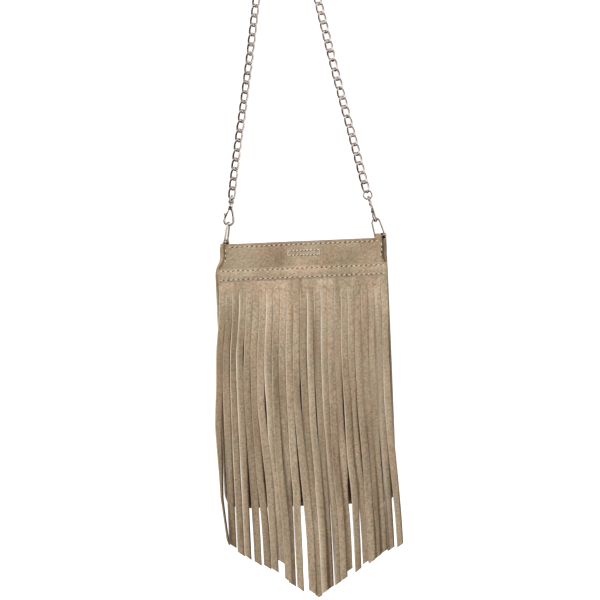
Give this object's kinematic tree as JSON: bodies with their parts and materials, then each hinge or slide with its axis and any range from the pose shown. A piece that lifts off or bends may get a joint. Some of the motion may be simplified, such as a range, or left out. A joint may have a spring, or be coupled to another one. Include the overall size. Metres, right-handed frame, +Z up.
{
  "type": "fringed suede shoulder bag",
  "caption": "Small flat suede shoulder bag with a long chevron-cut fringe over its front, hung from a curb chain strap by lobster clasps on ball-ended shackles.",
  "frame": {"origin": "the point where the chain strap's centreline crosses the hook or peg that it hangs on", "axes": "+Z up, front of the bag with its fringe faces -Y, +X to the viewer's right"},
  "size_m": [0.1806, 0.021, 0.7417],
  "materials": {
    "suede": "napped split suede, taupe beige, pale cut edges, cream stitching",
    "lining": "plain woven cotton lining, dark taupe",
    "plated_metal": "polished pale gold plating",
    "snap_steel": "nickel-plated steel"
  },
  "bodies": {
    "strap": {"chain": "plated_metal", "left_jump_ring": "plated_metal", "right_jump_ring": "plated_metal"},
    "left_clasp": {"left_clasp_hook": "plated_metal", "left_lever_pin": "snap_steel", "left_lever_spring": "snap_steel"},
    "right_clasp": {"right_clasp_hook": "plated_metal", "right_lever_pin": "snap_steel", "right_lever_spring": "snap_steel"},
    "left_lever": {"left_clasp_lever": "plated_metal"},
    "right_lever": {"right_clasp_lever": "plated_metal"},
    "bag": {"front_panel": "suede", "back_panel": "suede", "gusset": "suede", "lining": "lining", "fringe_panel": "suede", "cover_strip": "suede", "snap_socket": "snap_steel", "snap_stud": "snap_steel", "socket_washer": "snap_steel", "stud_washer": "snap_steel", "left_tab": "suede", "right_tab": "suede", "left_shackle": "plated_metal", "left_shackle_pin": "plated_metal", "right_shackle": "plated_metal", "right_shackle_pin": "plated_metal"}
  },
  "joints": [
    {"name": "left_clasp_swing", "type": "hinge", "parent": "strap", "child": "left_clasp", "pos_m": [-0.06559, 0, -0.31779], "axis": [1, 0, 0], "range_deg": [-15, 15]},
    {"name": "right_clasp_swing", "type": "hinge", "parent": "strap", "child": "right_clasp", "pos_m": [0.07858, 0, -0.32349], "axis": [1, 0, 0], "range_deg": [-19.5, 19.5]},
    {"name": "bag_swing", "type": "hinge", "parent": "left_clasp", "child": "bag", "pos_m": [-0.07017, 0, -0.3446], "axis": [1, 0, 0], "range_deg": [-60, 60]},
    {"name": "left_lever_press", "type": "hinge", "parent": "left_clasp", "child": "left_lever", "pos_m": [-0.06832, 0, -0.32726], "axis": [0, -1, 0], "range_deg": [0, 20], "stiffness_Nm_per_rad": 0.004, "springref_deg": -20.05},
    {"name": "right_lever_press", "type": "hinge", "parent": "right_clasp", "child": "right_lever", "pos_m": [0.08025, -0.00108, -0.33071], "axis": [0.9534, -0.1736, 0.2466], "range_deg": [0, 20], "stiffness_Nm_per_rad": 0.004, "springref_deg": -20.05}
  ],
  "couplings": [
    {"joint": "right_clasp_swing", "follows": "left_clasp_swing", "ratio": 1.2703}
  ]
}
